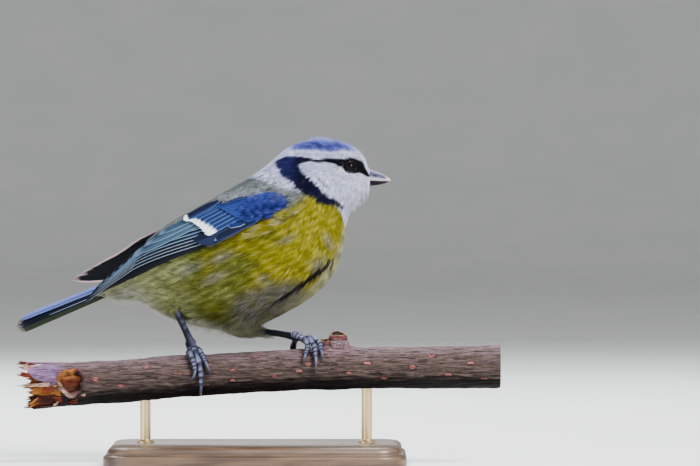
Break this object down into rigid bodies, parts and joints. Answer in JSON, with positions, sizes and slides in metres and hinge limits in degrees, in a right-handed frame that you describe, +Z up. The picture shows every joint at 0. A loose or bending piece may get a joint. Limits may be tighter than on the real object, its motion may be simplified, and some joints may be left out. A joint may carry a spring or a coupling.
{
  "type": "blue tit model on a perch",
  "caption": "Life-size songbird with folded wings gripping a cut length of branch, held by a flat base and short rods.",
  "frame": {"origin": "middle of the underside of the whole model, on the floor", "axes": "+X the way the bird faces and along the branch, -Y its right side, +Z up"},
  "size_m": [0.1368, 0.06, 0.0909],
  "materials": {
    "belly_plumage": "matte, soft and hair-like",
    "collar_plumage": "matte, soft and hair-like",
    "head_plumage": "matte, soft and fine",
    "wing_feathers": "matte vanes with a faint sheen",
    "tail_feathers": "matte vanes with a faint sheen",
    "bill_horn": "satin horn",
    "eye_gloss": "wet gloss",
    "leg_skin": "satin scaled skin",
    "claw_horn": "satin horn",
    "bark": "rough bark",
    "stand_base": "oiled satin",
    "stand_rod": "brushed"
  },
  "bodies": {
    "root": {"torso": "belly_plumage", "neck": "collar_plumage", "head": "head_plumage", "bill_upper": "bill_horn", "bill_lower": "bill_horn", "eye_right": "eye_gloss", "eye_left": "eye_gloss", "wing_right": "wing_feathers", "wing_left": "wing_feathers", "tail": "tail_feathers", "perch": "bark", "stand_base": "stand_base", "stand_rod_back": "stand_rod", "stand_rod_front": "stand_rod", "thigh_right": "belly_plumage", "tarsus_right": "leg_skin", "foot_right": "leg_skin", "claw_right_inner": "claw_horn", "claw_right_middle": "claw_horn", "claw_right_outer": "claw_horn", "claw_right_hind": "claw_horn", "thigh_left": "belly_plumage", "tarsus_left": "leg_skin", "foot_left": "leg_skin", "claw_left_inner": "claw_horn", "claw_left_middle": "claw_horn", "claw_left_outer": "claw_horn", "claw_left_hind": "claw_horn"}
  },
  "joints": []
}
